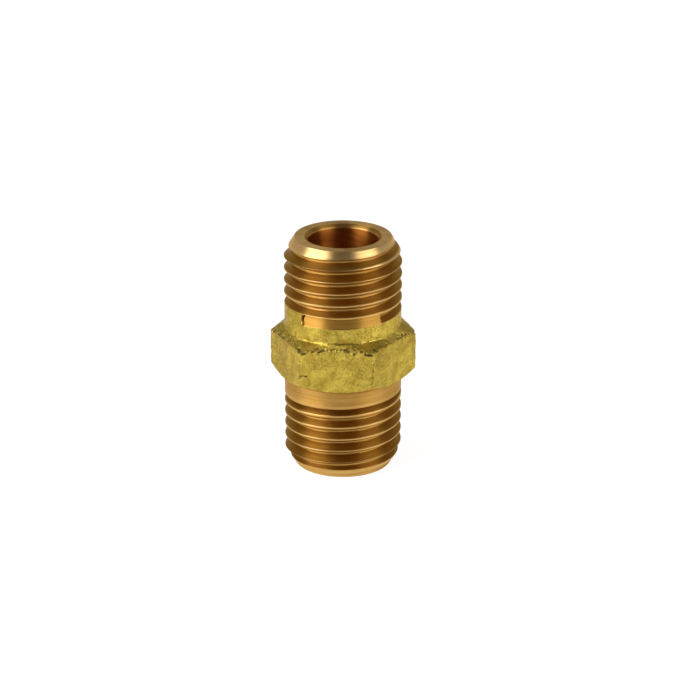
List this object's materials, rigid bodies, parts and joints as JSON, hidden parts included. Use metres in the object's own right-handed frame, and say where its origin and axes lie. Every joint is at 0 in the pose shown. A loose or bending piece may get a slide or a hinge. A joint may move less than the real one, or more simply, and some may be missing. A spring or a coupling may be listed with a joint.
{
  "type": "hex nipple",
  "caption": "Forged brass hex nipple: a plain hexagon between two short male taper pipe threads, with a straight bore through it.",
  "frame": {"origin": "centre of the lower end face, on the bore's axis", "axes": "+Z along the bore from the lower thread to the upper thread, which is the end with the forged collar; one wrench flat faces -Y"},
  "size_m": [0.0168, 0.0146, 0.0273],
  "materials": {
    "brass": "as-forged yellow-green skin on the hexagon and upper collar, bright turned reddish brass on the threads, ends and lower collar"
  },
  "bodies": {
    "root": {"nipple_body": "brass"}
  },
  "joints": []
}
